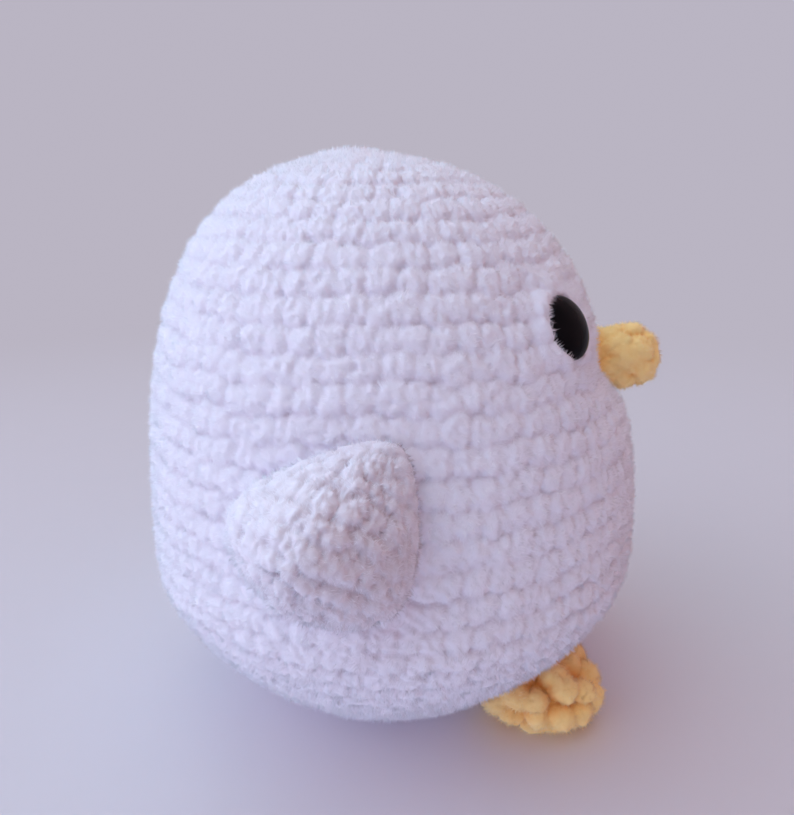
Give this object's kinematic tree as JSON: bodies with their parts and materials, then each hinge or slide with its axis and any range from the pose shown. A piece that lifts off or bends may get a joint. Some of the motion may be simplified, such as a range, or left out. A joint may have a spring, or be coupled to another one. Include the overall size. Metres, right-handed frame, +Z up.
{
  "type": "crochet chick",
  "caption": "Stuffed crochet toy chick: egg-shaped body in plush white yarn, sewn wings that lift at their seams, sewn yellow beak and feet, and locked black domed eyes.",
  "frame": {"origin": "middle of the flat patch under the body that the chick sits on, on the table", "axes": "+Z up; the chick faces -Y; its right side is towards -X and its left side towards +X"},
  "size_m": [0.1442, 0.1274, 0.132],
  "materials": {
    "white_yarn": "plush chenille yarn in single crochet",
    "yellow_yarn": "plush chenille yarn in single crochet",
    "filling": "loose polyester fibre",
    "eye_plastic": "moulded, polished black",
    "washer_plastic": "moulded, natural"
  },
  "bodies": {
    "body": {"body_cover": "white_yarn", "body_stuffing": "filling", "closing_yarn": "white_yarn", "wing_seam_right": "white_yarn", "wing_seam_left": "white_yarn", "beak": "yellow_yarn", "beak_seam": "yellow_yarn", "foot_right": "yellow_yarn", "foot_left": "yellow_yarn", "foot_seam_right": "yellow_yarn", "foot_seam_left": "yellow_yarn", "eye_right": "eye_plastic", "eye_left": "eye_plastic", "eye_washer_right": "washer_plastic", "eye_washer_left": "washer_plastic"},
    "right_wing": {"wing_right": "white_yarn"},
    "left_wing": {"wing_left": "white_yarn"}
  },
  "joints": [
    {"name": "wing_right_flap", "type": "hinge", "parent": "body", "child": "right_wing", "pos_m": [-0.05735, 0.00143, 0.08227], "axis": [0, 1, 0], "range_deg": [0, 70]},
    {"name": "wing_left_flap", "type": "hinge", "parent": "body", "child": "left_wing", "pos_m": [0.05735, 0.00143, 0.08227], "axis": [0, -1, 0], "range_deg": [0, 70]}
  ]
}
